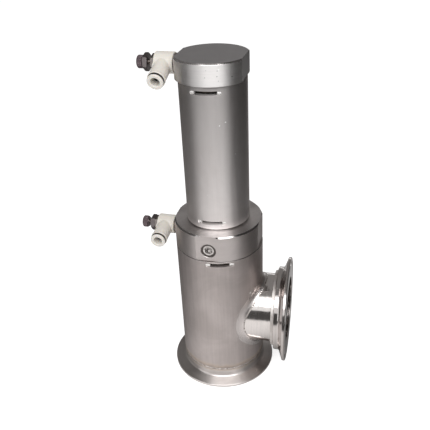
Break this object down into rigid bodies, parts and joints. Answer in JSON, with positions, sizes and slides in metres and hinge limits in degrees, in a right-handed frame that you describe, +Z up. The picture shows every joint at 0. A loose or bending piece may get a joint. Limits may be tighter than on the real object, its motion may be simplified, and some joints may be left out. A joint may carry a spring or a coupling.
{
  "type": "sanitary diaphragm valve",
  "caption": "Stainless angle-pattern sanitary valve with clamp ferrules, a slim cylinder actuator, lock-wire joints and elbow flow-control fittings.",
  "frame": {"origin": "centre of the inlet ferrule's face, on the body axis", "axes": "+Z up the body axis towards the actuator, +X out of the side outlet, the flow-control fittings stand on -X and the blanking plug on -Y"},
  "size_m": [0.1481, 0.106, 0.3328],
  "materials": {
    "satin_steel": "fine ground stainless, satin",
    "polished_steel": "polished stainless, mirror-like bands",
    "bright_steel": "turned stainless",
    "spring_steel": "drawn spring wire",
    "aluminium": "turned",
    "black_rubber": "matt",
    "white_ptfe": "smooth",
    "bronze": "turned",
    "nickel": "nickel plated",
    "dark_nickel": "dark plated",
    "cream_resin": "moulded, slightly glossy",
    "dark_knob": "black, knurled",
    "grey_washer": "matt"
  },
  "bodies": {
    "valve_body": {"inlet_ferrule": "polished_steel", "body_tube": "satin_steel", "branch_tube": "polished_steel", "outlet_ferrule": "polished_steel", "bonnet": "satin_steel", "bonnet_lock_wire": "bright_steel", "bonnet_o_ring": "black_rubber", "barrel": "satin_steel", "barrel_lock_wire": "bright_steel", "barrel_o_ring": "black_rubber", "end_cap": "satin_steel", "end_cap_lock_wire": "bright_steel", "end_cap_o_ring": "black_rubber", "blanking_plug": "bright_steel", "blanking_plug_seal": "black_rubber", "stem_bush": "bronze", "stem_seal": "black_rubber", "stem_circlip": "bright_steel", "diaphragm": "white_ptfe", "diaphragm_clamp_ring": "bright_steel", "clamp_ring_screws": "bright_steel", "return_spring": "spring_steel", "upper_stud": "nickel", "upper_port_washer": "grey_washer", "upper_swivel_seals": "black_rubber", "upper_hex_bush": "nickel", "lower_stud": "nickel", "lower_port_washer": "grey_washer", "lower_swivel_seals": "black_rubber", "lower_hex_bush": "nickel"},
    "stem": {"plug_disc": "bright_steel", "plug_seal_ring": "white_ptfe", "seal_clamp_disc": "bright_steel", "stem": "bright_steel", "piston": "aluminium", "piston_seal": "black_rubber", "piston_guide_ring": "white_ptfe", "piston_bore_seal": "black_rubber", "piston_nut": "bright_steel"},
    "upper_elbow": {"upper_elbow_body": "cream_resin", "upper_tube_seal": "black_rubber", "upper_collet": "spring_steel"},
    "upper_release": {"upper_release_ring": "cream_resin"},
    "upper_needle": {"upper_needle": "nickel"},
    "upper_knob": {"upper_knob": "dark_knob"},
    "upper_lock_nut": {"upper_lock_nut": "dark_nickel"},
    "lower_elbow": {"lower_elbow_body": "cream_resin", "lower_tube_seal": "black_rubber", "lower_collet": "spring_steel"},
    "lower_release": {"lower_release_ring": "cream_resin"},
    "lower_needle": {"lower_needle": "nickel"},
    "lower_knob": {"lower_knob": "dark_knob"},
    "lower_lock_nut": {"lower_lock_nut": "dark_nickel"}
  },
  "joints": [
    {"name": "stem_lift", "type": "slide", "parent": "valve_body", "child": "stem", "axis": [0, 0, 1], "range_m": [0, 0.018], "stiffness_N_per_m": 8600, "springref_m": -0.025, "deforming": ["return_spring", "diaphragm"]},
    {"name": "upper_elbow_swivel", "type": "hinge", "parent": "valve_body", "child": "upper_elbow", "pos_m": [-0.04192, 0.00256, 0.3235], "axis": [-0.9981, 0.061, 0], "continuous": true},
    {"name": "upper_release_push", "type": "slide", "parent": "upper_elbow", "child": "upper_release", "axis": [0.0581, 0.9493, 0.309], "range_m": [0, 0.0015], "stiffness_N_per_m": 800, "springref_m": -0.0005},
    {"name": "upper_needle_travel", "type": "slide", "parent": "valve_body", "child": "upper_needle", "axis": [-0.9981, 0.061, 0], "range_m": [-0.003, 0.003]},
    {"name": "upper_knob_turn", "type": "hinge", "parent": "upper_needle", "child": "upper_knob", "pos_m": [-0.06009, 0.00367, 0.3235], "axis": [-0.9981, 0.061, 0], "range_deg": [-2163, 2163]},
    {"name": "upper_lock_nut_turn", "type": "hinge", "parent": "upper_needle", "child": "upper_lock_nut", "pos_m": [-0.0539, 0.0033, 0.3235], "axis": [-0.9981, 0.061, 0], "range_deg": [-180, 180]},
    {"name": "lower_elbow_swivel", "type": "hinge", "parent": "valve_body", "child": "lower_elbow", "pos_m": [-0.0537, 0.00328, 0.1613], "axis": [-0.9981, 0.061, 0], "continuous": true},
    {"name": "lower_release_push", "type": "slide", "parent": "lower_elbow", "child": "lower_release", "axis": [0.0607, 0.9927, 0.1045], "range_m": [0, 0.0015], "stiffness_N_per_m": 800, "springref_m": -0.0005},
    {"name": "lower_needle_travel", "type": "slide", "parent": "valve_body", "child": "lower_needle", "axis": [-0.9981, 0.061, 0], "range_m": [-0.003, 0.003]},
    {"name": "lower_knob_turn", "type": "hinge", "parent": "lower_needle", "child": "lower_knob", "pos_m": [-0.07187, 0.00439, 0.1613], "axis": [-0.9981, 0.061, 0], "range_deg": [-2163, 2163]},
    {"name": "lower_lock_nut_turn", "type": "hinge", "parent": "valve_body", "child": "lower_lock_nut", "pos_m": [-0.06568, 0.00402, 0.1613], "axis": [-0.9981, 0.061, 0], "range_deg": [0, 180]}
  ],
  "couplings": [
    {"joint": "upper_knob_turn", "follows": "upper_needle_travel", "rad_per_m": 12566},
    {"joint": "lower_knob_turn", "follows": "lower_needle_travel", "rad_per_m": 12566}
  ]
}
